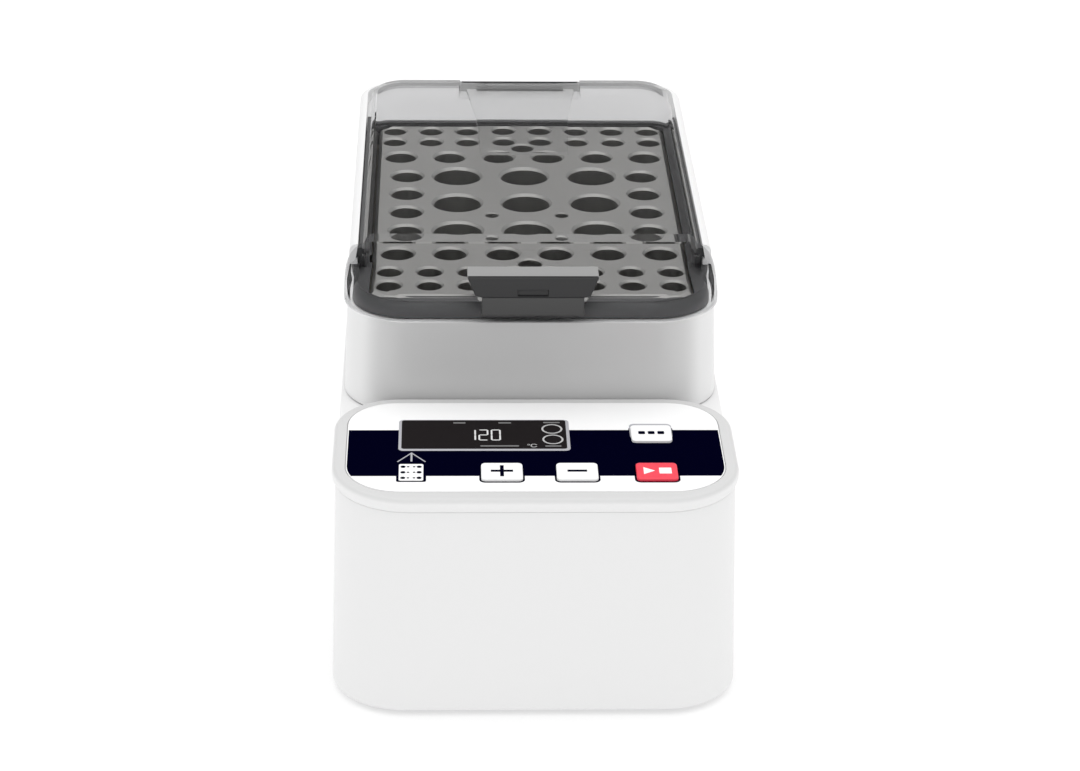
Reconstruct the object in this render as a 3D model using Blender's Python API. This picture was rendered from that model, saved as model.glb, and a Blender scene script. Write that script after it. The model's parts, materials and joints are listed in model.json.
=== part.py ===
"""Bench-top digital dry-block heater: white moulded housing with a low control deck at the front,
an aluminium block drilled for three tube sizes, and a smoky clear lid hinged along its rear edge.

World axes: +X to the user's right, +Y to the back, +Z up; the feet stand on Z = 0.
The helpers take millimetres. Depths are measured back from the front wall's upper edge.
"""
import math

import bmesh
import bpy
from mathutils import Matrix

MM = 0.001

# ---------------------------------------------------------------- driving sizes, mm
CENTRE_DEPTH = 137.5      # depth of the middle of the footprint
FOOTPRINT = dict(half=65.0, front=-2.5, back=277.5)
WALL = 2.5
GAP = 0.3

FOOT_HEIGHT = 1.7
BASE_Z = (2.0, 70.0)
DECK_BACK_Z, DECK_SLOPE = 76.0, 0.0187     # control deck: height at its rear, rise per mm
BEZEL = dict(half=64.5, front=1.6, back=74.6)

COVER_Z = (70.3, 117.5)
COVER_FRONT, COVER_BACK = 75.0, 276.3
COVER_HALF = (62.3, 60.6)
NOTCH_Z, NOTCH_DEPTH, NOTCH_R = 102.7, 92.0, 14.8
POCKET_HALF, POCKET_Z = 57.7, 106.0
REAR_DECK = ((249.8, 109.4), (272.6, 115.2))

BLOCK = dict(half=53.0, front=83.7, back=246.7, z0=56.0, z1=108.3, corner=3.6, edge=1.2)
WELL_CENTRE = 166.6        # the well pattern sits a little behind the block's middle
LARGE_WELL, MEDIUM_WELL, SMALL_WELL = (8.3, 44.0), (5.5, 38.0), (4.1, 28.0)     # radius, depth
PROBE_WELL, LIFT_HOLE = (4.0, 34.0), (2.25, 14.0)

LID_Z, LID_WALL = 120.0, 2.2
LID_HALF, HOOD_HALF = 56.0, 62.2
LID_FRONT, LID_BACK = 75.0, 270.8
HINGE_DEPTH, HINGE_Z = 269.5, 117.9

KEY_SIZE = (13.1, 11.3)
KEYS = (("key_plus", -10.8, 19.8, "key_white"), ("key_minus", 12.9, 19.8, "key_white"),
        ("key_mode", 37.8, 46.5, "key_white"), ("key_start", 38.0, 19.8, "key_red"))
DISPLAY = dict(x=(-42.7, 10.5), depth=(36.7, 57.4))


def y_of(depth):
    return depth - CENTRE_DEPTH


def deck_z(offset=0.0):
    """Height over a point of the control deck, offset mm above its surface."""
    return lambda y: DECK_BACK_Z - DECK_SLOPE * (BEZEL["back"] - y - CENTRE_DEPTH) + offset


# ---------------------------------------------------------------- scene and materials
for old in list(bpy.data.objects):
    bpy.data.objects.remove(old, do_unlink=True)


def new_collection(name):
    made = bpy.data.collections.new(name)
    bpy.context.scene.collection.children.link(made)
    return made


PARTS = new_collection("dry_block_heater")
TOOLS = new_collection("cutters")

MATERIALS = {}


def material(name, colour, roughness, metallic=0.0, alpha=1.0):
    made = bpy.data.materials.new(name)
    made.use_nodes = True
    shader = made.node_tree.nodes["Principled BSDF"]
    shader.inputs["Base Color"].default_value = (*colour, 1.0)
    shader.inputs["Roughness"].default_value = roughness
    shader.inputs["Metallic"].default_value = metallic
    shader.inputs["Alpha"].default_value = alpha
    MATERIALS[name] = made


material("housing_white", (0.84, 0.84, 0.83), 0.38)
material("label_white", (0.88, 0.88, 0.88), 0.45)
material("display_black", (0.015, 0.014, 0.015), 0.12)
material("key_white", (0.9, 0.9, 0.9), 0.4)
material("key_red", (0.82, 0.03, 0.06), 0.4)
material("block_aluminium", (0.62, 0.61, 0.59), 0.38, 1.0)
material("frame_black", (0.03, 0.03, 0.032), 0.45)
material("lid_smoke", (0.12, 0.12, 0.125), 0.06, 0.0, 0.35)
material("grip_black", (0.02, 0.02, 0.02), 0.4)
material("steel", (0.6, 0.6, 0.6), 0.3, 1.0)
material("base_grey", (0.25, 0.25, 0.26), 0.5)
material("rubber_black", (0.02, 0.02, 0.02), 0.8)
material("insulation", (0.75, 0.72, 0.62), 0.9)
material("silicone_red", (0.45, 0.1, 0.06), 0.7)
material("board_green", (0.03, 0.18, 0.08), 0.5)
material("core_grey", (0.2, 0.2, 0.22), 0.5)
material("brass", (0.75, 0.6, 0.3), 0.3, 1.0)


# ---------------------------------------------------------------- shape helpers
def outline(half, front, back, r_front, r_back, steps=5, centre=0.0):
    """Rounded rectangle seen from above, counter-clockwise; depths in, world mm out."""
    y0, y1 = y_of(front), y_of(back)
    corners = ((half - r_front, y0 + r_front, r_front, -90), (half - r_back, y1 - r_back, r_back, 0),
               (r_back - half, y1 - r_back, r_back, 90), (r_front - half, y0 + r_front, r_front, 180))
    points = []
    for cx, cy, radius, start in corners:
        for i in range(steps + 1):
            a = math.radians(start + 90 * i / steps)
            points.append((centre + cx + radius * math.cos(a), cy + radius * math.sin(a)))
    return points


def circle(x, y, radius, count):
    return [(x + radius * math.cos(2 * math.pi * (i + 0.5) / count),
             y + radius * math.sin(2 * math.pi * (i + 0.5) / count)) for i in range(count)]


def chamfered(half, front, back, corner):
    y0, y1 = y_of(front), y_of(back)
    c = corner
    return [(half - c, y0), (half, y0 + c), (half, y1 - c), (half - c, y1),
            (c - half, y1), (-half, y1 - c), (-half, y0 + c), (c - half, y0)]


def add_stack(bm, levels):
    """Closed solid through outlines of equal length; a level's height may be a function of y."""
    loops = []
    for points, height in levels:
        level = height if callable(height) else (lambda y, h=height: h)
        loops.append([bm.verts.new((x * MM, y * MM, level(y) * MM)) for x, y in points])
    for low, high in zip(loops, loops[1:]):
        for i in range(len(low)):
            j = (i + 1) % len(low)
            bm.faces.new((low[i], low[j], high[j], high[i]))
    bm.faces.new(tuple(reversed(loops[0])))
    bm.faces.new(tuple(loops[-1]))


def finish(name, bm, slot=None):
    """Turns a bmesh into a named part, or into a hidden cutter when it has no material."""
    bmesh.ops.recalc_face_normals(bm, faces=bm.faces)
    mesh = bpy.data.meshes.new(name)
    bm.to_mesh(mesh)
    bm.free()
    thing = bpy.data.objects.new(name, mesh)
    if slot:
        mesh.materials.append(MATERIALS[slot])
        PARTS.objects.link(thing)
    else:
        TOOLS.objects.link(thing)
        thing.hide_render = True
        thing.display_type = "WIRE"
    return thing


def stack(name, levels, slot=None):
    bm = bmesh.new()
    add_stack(bm, levels)
    return finish(name, bm, slot)


def box(name, x, depth, z, slot=None):
    (x0, x1), (y0, y1) = x, (y_of(depth[0]), y_of(depth[1]))
    return stack(name, [([(x0, y0), (x1, y0), (x1, y1), (x0, y1)], h) for h in z], slot)


def along_x(name, profile, x0, x1, slot=None):
    """Extrudes a (depth, z) profile along X."""
    bm = bmesh.new()
    ends = [[bm.verts.new((x * MM, y_of(d) * MM, z * MM)) for d, z in profile] for x in (x0, x1)]
    for i in range(len(profile)):
        j = (i + 1) % len(profile)
        bm.faces.new((ends[0][i], ends[0][j], ends[1][j], ends[1][i]))
    bm.faces.new(ends[0])
    bm.faces.new(tuple(reversed(ends[1])))
    return finish(name, bm, slot)


def along_y(name, profile, d0, d1, slot=None):
    """Extrudes an (x, z) profile from depth d0 to depth d1."""
    bm = bmesh.new()
    ends = [[bm.verts.new((x * MM, y_of(d) * MM, z * MM)) for x, z in profile] for d in (d0, d1)]
    for i in range(len(profile)):
        j = (i + 1) % len(profile)
        bm.faces.new((ends[0][i], ends[0][j], ends[1][j], ends[1][i]))
    bm.faces.new(ends[0])
    bm.faces.new(tuple(reversed(ends[1])))
    return finish(name, bm, slot)


def rod_x(name, x0, x1, depth, z, radius, count=16, slot=None):
    return along_x(name, [(depth + cy, z + cz) for cy, cz in circle(0, 0, radius, count)], x0, x1, slot)


def rod_y(name, x, d0, d1, z, radius, count=16, slot=None):
    return along_y(name, [(x + cx, z + cz) for cx, cz in circle(0, 0, radius, count)], d0, d1, slot)


def rod_z(name, x, depth, z, radius, count=16, slot=None):
    return stack(name, [(circle(x, y_of(depth), radius, count), h) for h in z], slot)


def combine(target, operation, *tools):
    for tool in tools:
        step = target.modifiers.new(operation.lower() + "_" + tool.name, "BOOLEAN")
        step.operation = operation
        step.solver = "EXACT"
        step.object = tool
    return target


def cut(target, *tools):
    return combine(target, "DIFFERENCE", *tools)


def join(target, *tools):
    return combine(target, "UNION", *tools)


def shade_round(thing, angle=32):
    for face in thing.data.polygons:
        face.use_smooth = True
    thing.data.set_sharp_from_angle(angle=math.radians(angle))


def arc(depth, z, radius, start, end, steps):
    return [(depth + radius * math.cos(math.radians(start + (end - start) * i / steps)),
             z + radius * math.sin(math.radians(start + (end - start) * i / steps)))
            for i in range(steps + 1)]


# ---------------------------------------------------------------- base housing
def base_outline(z, inset=0.0):
    """The base housing's outline, which leans in towards the top all round."""
    t = (z - BASE_Z[0]) / (BASE_Z[1] - BASE_Z[0])
    return outline(FOOTPRINT["half"] - 1.6 * t - inset, FOOTPRINT["front"] + 5.0 * t + inset,
                   FOOTPRINT["back"] - 1.2 * t - inset, 24 - inset, 16 - inset)


base = stack("base_housing", [(base_outline(BASE_Z[0]), BASE_Z[0]), (base_outline(69.0), 69.0),
                              (base_outline(69.7, 0.3), 69.7), (base_outline(70.0, 1.0), 70.0)],
             "housing_white")
cut(base,
    stack("base_cavity", [(base_outline(0.0, WALL), 0.0), (base_outline(67.5, WALL), 67.5)]),
    stack("board_opening", [(outline(56, 8, 71, 6, 6, 3), h) for h in (60, 75)]),
    stack("well_opening", [(outline(57.9, 79.2, 271, 13.5, 6, 3), h) for h in (60, 75)]),
    box("inlet_opening", (-4.4, 46.4), (270, 285), (14.6, 45.4)))
SCREW_SPOTS = [(x, depth) for depth in (34.0, 258.0) for x in (-57.4, 57.4)]
for number, (x, depth) in enumerate(SCREW_SPOTS):
    join(base, rod_z(f"boss_{number}", x, depth, (4.3, 68.5), 4.5, 12))
for number, (x, depth) in enumerate(SCREW_SPOTS):
    cut(base, rod_z(f"boss_bore_{number}", x, depth, (3.0, 16.0), 1.9, 10))

plate = stack("base_plate", [(base_outline(2.0, WALL + 0.4), 2.0), (base_outline(4.0, WALL + 0.4), 4.0)],
              "base_grey")
for number in range(9):
    cut(plate, box(f"vent_{number}", (-30, 30), (86 + 17 * number, 90 + 17 * number), (1, 5)))
FOOT_SPOTS = [(x, depth) for depth in (17.0, 259.0) for x in (-46.0, 46.0)]
for number, (x, depth) in enumerate(FOOT_SPOTS):
    cut(plate, rod_z(f"foot_hole_{number}", x, depth, (1, 5), 2.9, 12))
for number, (x, depth) in enumerate(SCREW_SPOTS):
    cut(plate, rod_z(f"screw_hole_{number}", x, depth, (1, 5), 1.9, 12),
        rod_z(f"screw_seat_{number}", x, depth, (1, 3.0), 3.6, 12))

for label, (x, depth) in zip(("front_left", "front_right", "rear_left", "rear_right"), FOOT_SPOTS):
    y = y_of(depth)
    stack("foot_" + label, [(circle(x, y, r, 20), h) for r, h in
                            ((6.2, 0.0), (7.0, 0.6), (7.0, FOOT_HEIGHT), (2.6, FOOT_HEIGHT), (2.6, 4.6))],
          "rubber_black")
for label, (x, depth) in zip(("front_left", "front_right", "rear_left", "rear_right"), SCREW_SPOTS):
    y = y_of(depth)
    stack("base_screw_" + label, [(circle(x, y, r, 12), h) for r, h in
                                  ((3.0, 2.1), (3.3, 2.3), (3.3, 2.7), (1.5, 2.7), (1.5, 13.0))], "steel")

# ---------------------------------------------------------------- upper cover
def cover_outline(z, inset=0.0):
    t = (z - COVER_Z[0]) / (COVER_Z[1] - COVER_Z[0])
    half = COVER_HALF[0] + (COVER_HALF[1] - COVER_HALF[0]) * t
    return outline(half - inset, COVER_FRONT + inset, COVER_BACK - 1.0 * t - inset, 21 - inset, 16 - inset)


cover = stack("upper_cover", [(cover_outline(70.3), 70.3), (cover_outline(114.6), 114.6),
                              (cover_outline(116.3, 0.6), 116.3), (cover_outline(117.2, 1.5), 117.2),
                              (cover_outline(117.5, 2.6), 117.5)], "housing_white")
notch = along_x("notch", [(60, NOTCH_Z)] + arc(NOTCH_DEPTH, 117.5, NOTCH_R, -90, 0, 6)
                + [(NOTCH_DEPTH + NOTCH_R, 130), (60, 130)], -72, 72)
cut(notch, stack("notch_core", [(outline(57.6, 79.6, 140, 16.5, 2), h) for h in (90, POCKET_Z + 0.2)]))
rear_slope = lambda y: (REAR_DECK[0][1] + (y - y_of(REAR_DECK[0][0])) * (REAR_DECK[1][1] - REAR_DECK[0][1])
                        / (REAR_DECK[1][0] - REAR_DECK[0][0]))
cut(cover,
    stack("cover_cavity", [(outline(59.4, 77.6, 273.4, 17, 12), h) for h in (60, 100)]),
    stack("cover_cavity_top", [(outline(57.3, 79.9, 273.4, 16.2, 12), h) for h in (99, 103.5)]),
    stack("cover_cavity_rear", [(outline(56.0, 252.4, 272.0, 2, 10), h) for h in (95, 107.4)]),
    stack("well_pocket", [(outline(POCKET_HALF, 79.5, REAR_DECK[0][0], 16.6, 8.3), h)
                          for h in (POCKET_Z, 130)]),
    stack("rear_pocket", [(outline(POCKET_HALF, 240.0, REAR_DECK[1][0], 0.6, 13.5), h)
                          for h in (rear_slope, 130)]),
    stack("deck_opening", [(outline(54.6, 78.6, 247.2, 14, 4, 3), h) for h in (103.0, 110)]),
    box("hinge_recess", (-23.2, 23.2), (262.0, 272.6), (113.0, 130)),
    box("ear_pocket_left", (-59.4, -57.0), (91.2, 112.4), (102.7, 110.5)),
    box("ear_pocket_right", (57.0, 59.4), (91.2, 112.4), (102.7, 110.5)),
    notch,
    box("slot_right", (59.0, 70), (170.0, 212.0), (110.0, 113.4)),
    box("slot_left", (-70, -59.0), (170.0, 212.0), (110.0, 113.4)))
for label, x in (("left", (-60.4, -59.3)), ("right", (59.3, 60.4))):
    insert = box("side_insert_" + label, x, (170.3, 211.7), (110.3, 113.1), "frame_black")

# ---------------------------------------------------------------- control deck
def bezel_outline(inset):
    return outline(BEZEL["half"] - inset, BEZEL["front"] + inset, BEZEL["back"] - inset, 25 - inset, 21 - inset)


bezel = stack("control_bezel", [(bezel_outline(1.0), 70.4), (bezel_outline(0.3), 70.9),
                                (bezel_outline(0.0), 71.9), (bezel_outline(0.0), deck_z(-1.9)),
                                (bezel_outline(0.5), deck_z(-0.6)), (bezel_outline(1.6), deck_z(0.0))],
              "housing_white")
LABEL = dict(half=60.0, front=7.6, back=70.2)
cut(bezel,
    stack("bezel_cavity", [(outline(61.0, 5.0, 71.6, 21, 17), h) for h in (60.0, deck_z(-2.6))]),
    stack("label_recess", [(outline(LABEL["half"] + 0.3, LABEL["front"] - 0.3, LABEL["back"] + 0.3, 17.8, 16.3), h)
                           for h in (deck_z(-0.7), 90)]))
film = stack("label_film", [(outline(LABEL["half"], LABEL["front"], LABEL["back"], 17.5, 16.0), h)
                            for h in (deck_z(-0.4), deck_z(0.1))], "label_white")


def deck_block(name, x, depth, low, high, radius, slot=None):
    """Rounded block standing square on the deck, between two heights above its surface."""
    half, centre = (x[1] - x[0]) / 2, (x[1] + x[0]) / 2
    return stack(name, [(outline(half, depth[0], depth[1], radius, radius, 3, centre), h)
                        for h in (deck_z(low), deck_z(high))], slot)


def grown(span, amount):
    return (span[0] - amount, span[1] + amount)


cut(film, deck_block("film_window", grown(DISPLAY["x"], 0.3), grown(DISPLAY["depth"], 0.3), -3, 3, 1.3))
cut(bezel, deck_block("bezel_window_seat", grown(DISPLAY["x"], 0.3), grown(DISPLAY["depth"], 0.3), -1.5, 3, 1.3),
    deck_block("bezel_window", grown(DISPLAY["x"], -1.6), grown(DISPLAY["depth"], -1.6), -5, 3, 1.0))
deck_block("display_window", DISPLAY["x"], DISPLAY["depth"], -1.2, 0.15, 1.0, "display_black")
deck_block("display_module", (-38.0, 6.0), (40.0, 54.0), -4.9, -1.6, 0.8, "core_grey")
for name, x, depth, slot in KEYS:
    half, deep = KEY_SIZE[0] / 2, KEY_SIZE[1] / 2
    area_x, area_d = (x - half, x + half), (depth - deep, depth + deep)
    cut(film, deck_block(name + "_film_hole", grown(area_x, 0.4), grown(area_d, 0.4), -3, 3, 1.9))
    cut(bezel, deck_block(name + "_bezel_hole", grown(area_x, 0.4), grown(area_d, 0.4), -5, 3, 1.9))
    levels = [(outline(half - inset, depth - deep + inset, depth + deep - inset, 1.5, 1.5, 3, x), deck_z(h))
              for inset, h in ((0.0, -3.4), (0.0, 0.7), (0.35, 1.0))]
    stack(name, levels, slot)
board = deck_block("control_board", (-52, 52), (11, 68), -6.8, -5.2, 2.0, "board_green")
for name, x, depth, slot in KEYS:
    join(board, deck_block(name + "_dome", (x - 3, x + 3), (depth - 3, depth + 3), -5.6, -4.4, 1.0))
for number, (x, depth) in enumerate(((-48, 15), (48, 15), (-48, 64), (50, 64))):
    join(bezel, deck_block(f"bezel_post_{number}", (x - 2, x + 2), (depth - 2, depth + 2), -4.9, -2.0, 1.0))

# ---------------------------------------------------------------- heated block and what holds it
def block_outline(grow=0.0):
    return chamfered(BLOCK["half"] + grow, BLOCK["front"] - grow, BLOCK["back"] + grow, BLOCK["corner"])


block = stack("tube_block", [(block_outline(), BLOCK["z0"]), (block_outline(), BLOCK["z1"] - BLOCK["edge"]),
                             (block_outline(-BLOCK["edge"]), BLOCK["z1"])], "block_aluminium")
WELLS = {
    "large": (LARGE_WELL, 20, [(x, d) for d in (-26.5, 0, 26.5) for x in (-24.2, 0, 24.2)]),
    "medium": (MEDIUM_WELL, 16, [(x, d) for d in (-46.2, 46.2) for x in (-44.75, -26.85, -8.95, 8.95, 26.85, 44.75)]
               + [(x, d) for d in (-26.5, -8.85, 8.85, 26.5) for x in (-42.15, 42.15)]),
    "small": (SMALL_WELL, 12, [(6.75 + 13.5 * i, d) for d in (-74.0, -62.3, 62.3, 74.0) for i in range(-4, 4)]),
    "probe": (PROBE_WELL, 12, [(0, -55.2), (0, 55.2)]),
    "lift": (LIFT_HOLE, 8, [(-12.2, -12.0), (12.2, -12.0)]),
}
bm = bmesh.new()
for (radius, depth), count, spots in WELLS.values():
    for x, d in spots:
        add_stack(bm, [(circle(x, y_of(WELL_CENTRE + d), radius, count), h)
                       for h in (BLOCK["z1"] - depth, BLOCK["z1"] + 3)])
cut(block, finish("wells", bm),
    rod_y("sensor_bore", 0, 70, 106, 62.5, 2.0, 12))

jacket = stack("insulation_jacket", [(outline(57.4, 79.8, 249.6, 13, 4, 3), h) for h in (42.0, 99.7)], "insulation")
cut(jacket, stack("jacket_inside", [(block_outline(0.6), h) for h in (47.4, 110)]),
    rod_y("jacket_sensor_bore", 0, 70, 90, 62.5, 2.0, 12),
    rod_z("jacket_cutout_bore", 25, 165, (40, 50), 9.0, 16))
stack("heater_plate", [(chamfered(51.0, 86, 243, 3), h) for h in (50.0, 55.7)], "block_aluminium")
stack("heater_mat", [(chamfered(50.0, 88, 241, 3), h) for h in (48.0, 49.7)], "silicone_red")
rod_z("thermal_cutout", 25, 165, (38.5, 47.6), 8.4, 16, "steel")
rod_y("temperature_sensor", 0, 70.5, 105.0, 62.5, 1.6, 12, "steel")
for label, d in (("front", 104.0), ("rear", 214.0)):
    along_x("support_bracket_" + label, [(d, 4.3), (d + 14, 4.3), (d + 14, 5.8), (d + 1.5, 5.8), (d + 1.5, 40.2),
                                         (d + 14, 40.2), (d + 14, 41.7), (d, 41.7)], -44, 44, "steel")

frame = stack("well_frame", [(outline(57.4, 80.0, 249.5, 16.9, 8.0), h) for h in (106.3, 115.1)], "frame_black")
apron = stack("frame_apron", [(outline(59.2 - inset, 78.0 + inset, 110, 18.1 - inset, 0.5), h)
                              for h, inset in ((103.1, 0.0), (104.8, 0.2), (107.0, 1.4), (108.3, 3.2))])
for side, x, far in (("left", (-59.0, -57.2), -70), ("right", (57.2, 59.0), 70)):
    outer, inner = (x[0], x[1]) if side == "left" else (x[1], x[0])
    cut(apron, box("apron_trim_" + side, sorted((outer, far)), (91.5, 130), (90, 130)),
        box("apron_end_" + side, sorted((inner, far)), (98.0, 130), (90, 130)))
join(frame, apron)
cut(frame,
    stack("frame_inside", [(outline(55.6, 60, 247.6, 1, 6.4), h) for h in (108.3, 130)]),
    box("frame_front_clear", (-70, 70), (60, 108), (108.3, 130)),
    box("frame_rear_top", (-70, 70), (240, 260), (109.1, 130)),
    stack("frame_under", [(outline(58.1, 79.1, 120, 16.8, 2), h) for h in (95, 106.3)]),
    stack("frame_well", [(block_outline(0.5), h) for h in (95, 130)]))
ear_front = along_x("ear_front", [(80, 90)] + arc(NOTCH_DEPTH, 117.5, NOTCH_R, -90, 0, 6)
                    + [(NOTCH_DEPTH + NOTCH_R, 130), (80, 130)], -72, 72)
for side, x in (("left", (-59.1, -57.3)), ("right", (57.3, 59.1))):
    ear = box("frame_ear_" + side, x, (97.2, 112.1), (103.1, 110.2))
    cut(ear, ear_front)
    join(frame, ear)

# ---------------------------------------------------------------- power side, at the rear
supply = box("power_board", (-56, 4), (126, 200), (8.0, 9.6), "board_green")
for number, (x, depth) in enumerate(((-52, 132), (0, 132), (-52, 194), (0, 194))):
    join(plate, rod_z(f"board_post_{number}", x, depth, (3.0, 7.7), 2.5, 10))
transformer = box("transformer", (-48, -14), (136, 176), (9.9, 36.0), "core_grey")

inlet = box("inlet_module", (-4.0, 46.0), (254.0, 276.6), (15.0, 45.0), "grip_black")
cut(inlet,
    along_y("inlet_socket", [(0.0, 26.0), (24.0, 26.0), (24.0, 38.0), (20.0, 42.5), (4.0, 42.5), (0.0, 38.0)],
            260.8, 285),
    box("fuse_slot", (-0.3, 24.3), (258.0, 285), (17.2, 23.8)),
    box("rocker_slot", (28.5, 42.5), (262.0, 285), (19.0, 41.0)))
PINS = (("inlet_pin_live", (5.0, 7.0), (28.5, 32.5)), ("inlet_pin_neutral", (17.0, 19.0), (28.5, 32.5)),
        ("inlet_pin_earth", (11.0, 13.0), (35.0, 39.0)))
for name, x, z in PINS:
    cut(inlet, box(name + "_bore", grown(x, GAP), (257.5, 262), grown(z, GAP)))
    box(name, x, (258.0, 271.5), z, "brass")
box("fuse_drawer", (0.0, 24.0), (258.4, 276.9), (17.5, 23.5), "frame_black")
ROCKER_AXIS = (271.0, 30.0)
rocker_profile = [(275.9, 20.0), (276.3, 20.6), (273.9, 30.0), (277.2, 39.6), (276.6, 40.1), (271.0, 36.6),
                  (267.6, 31.2), (267.6, 28.8), (271.0, 23.0)]
rocker = along_x("power_rocker", rocker_profile, 29.0, 42.0, "grip_black")

# ---------------------------------------------------------------- lid and its hinge
SLOPE = [(70.0, 108.75), (110.0, 120.0)]        # the lid's front slope, (depth, z)
hood_profile = ([(70, 103.1)] + arc(NOTCH_DEPTH, 117.5, NOTCH_R - 0.4, -90, 0, 6)
                + [(NOTCH_DEPTH + NOTCH_R - 0.4, 118.99), SLOPE[0]])


def hood_levels(half, front, corner, drop, side_in, front_in, tall):
    """Rounded shoulders under the lid's front slope: a quarter ellipse from the sides up to the slope."""
    def below_slope(amount):
        return lambda y: (SLOPE[0][1] + (y + CENTRE_DEPTH - SLOPE[0][0]) * (SLOPE[1][1] - SLOPE[0][1])
                          / (SLOPE[1][0] - SLOPE[0][0]) - drop - amount)
    levels = [(outline(half, front, 112, corner, 0.5), 85.0)]
    for step in range(6):
        turn = math.radians(18 * step)
        inset = 1 - math.cos(turn)
        levels.append((outline(half - side_in * inset, front + front_in * inset, 112,
                               corner - (side_in + front_in) / 2 * inset, 0.5),
                       below_slope(tall * (1 - math.sin(turn)))))
    return levels


lid = along_x("lid", hood_profile, -72, 72, "lid_smoke")
combine(lid, "INTERSECT", stack("hood_plan", hood_levels(HOOD_HALF, LID_FRONT, 21, 0.0, 10.0, 2.4, 11.0)))
roof = stack("roof", [(outline(LID_HALF, 99.0, LID_BACK, 0.5, 12.5), 115.5),
                      (outline(LID_HALF, 99.0, LID_BACK, 0.5, 12.5), 119.4),
                      (outline(LID_HALF - 0.6, 99.0, LID_BACK - 0.6, 0.5, 11.9), 120.0)])
cut(roof, along_x("roof_slope", [(60, 105.94), (110.0, 120.0), (110, 135), (60, 135)], -80, 80))
join(lid, roof)
join(lid, along_y("tongue", [(21.2, 117.8), (-21.2, 117.8), (-17.4, 109.5), (17.4, 109.5)], 75.0, 83.4))
lid_inside = stack("lid_inside", hood_levels(60.0, 77.2, 18.8, 2.3, 9.0, 1.2, 9.5))
cut(lid_inside, box("inside_end", (-90, 90), (104.2, 130), (70, 140)))
cut(lid, lid_inside,
    stack("roof_inside", [(outline(LID_HALF - LID_WALL, 107.6, LID_BACK - LID_WALL, 0.5, 10.3), h)
                          for h in (90, LID_Z - LID_WALL)]),
    along_x("slope_inside", [(98, 90), (108.5, 90), (108.5, 117.25), (98, 114.3)], -53.8, 53.8),
    along_y("tongue_inside", [(19.0, 115.8), (-19.0, 115.8), (-15.4, 107.5), (15.4, 107.5)], 77.2, 81.4),
    box("hinge_clear", (-22.8, 22.8), (266.6, 280), (105, 130)))

grip_face = [(21.4, 119.4), (-21.4, 119.4), (-18.8, 112.9), (-16.7, 112.4), (-16.7, 105.2), (16.7, 105.2),
             (16.7, 112.4), (18.8, 112.9)]
grip = along_y("lid_grip", grip_face, 73.0, 74.7, "grip_black")
join(grip, box("grip_lip", (-21.4, 21.4), (73.4, 83.0), (118.2, 119.4)))
cut(grip, box("grip_slot", (-5.0, 5.0), (72.0, 74.0), (112.9, 115.0)))

rib_plan = [(-20.4, 262.0), (-17.0, 232.0), (-15.8, 193.0), (15.8, 193.0), (17.0, 232.0), (20.4, 262.0)]
stack("lid_rib", [([(x, y_of(d)) for x, d in rib_plan], h) for h in (116.4, 117.5)], "lid_smoke")

leaf = rod_x("lid_hinge_leaf", -16.6, 16.6, HINGE_DEPTH, HINGE_Z, 2.0, 16, "lid_smoke")
join(leaf, box("leaf_plate", (-16.6, 16.6), (262.4, 268.6), (116.2, 117.4)))
cut(leaf, rod_x("leaf_bore", -20, 20, HINGE_DEPTH, HINGE_Z, 1.35, 16))
lugs = along_x("hinge_base", [(262.4, 113.3), (272.2, 113.3), (272.2, 114.2), (271.6, 119.0), (270.6, 119.8),
                              (268.4, 119.8), (267.4, 119.0), (266.8, 115.0), (262.4, 115.0)],
               -22.4, 22.4, "lid_smoke")
cut(lugs, box("lug_space", (-17.0, 17.0), (260, 275), (115.0, 125)),
    rod_x("lug_bore", -30, 30, HINGE_DEPTH, HINGE_Z, 1.3, 16))
pin = rod_x("hinge_pin", -22.0, 22.0, HINGE_DEPTH, HINGE_Z, 0.9, 16, "steel")

# ---------------------------------------------------------------- moving pieces turn about their own origins
def set_origin(thing, x, depth, z):
    """Moves an object's origin without moving its shape."""
    at = (x * MM, y_of(depth) * MM, z * MM)
    thing.data.transform(Matrix.Translation([-v for v in at]))
    thing.location = at


for piece in (lid, grip, leaf, bpy.data.objects["lid_rib"]):
    set_origin(piece, 0, HINGE_DEPTH, HINGE_Z)
set_origin(rocker, 35.5, *ROCKER_AXIS)
for piece in [lid, leaf, pin] + [thing for thing in PARTS.objects if thing.name.startswith("foot_")]:
    shade_round(piece)
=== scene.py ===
"""Looks for the dry block heater.

It draws finer shells, the tube block, the smoky lid and the printed control deck over the CAD, and sets up
the studio and the camera. Helpers take millimetres. Depths are measured back from the front wall's upper edge, as
in the CAD.
"""
import json
import math

import bmesh
import bpy
from mathutils import Matrix, Vector

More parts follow.
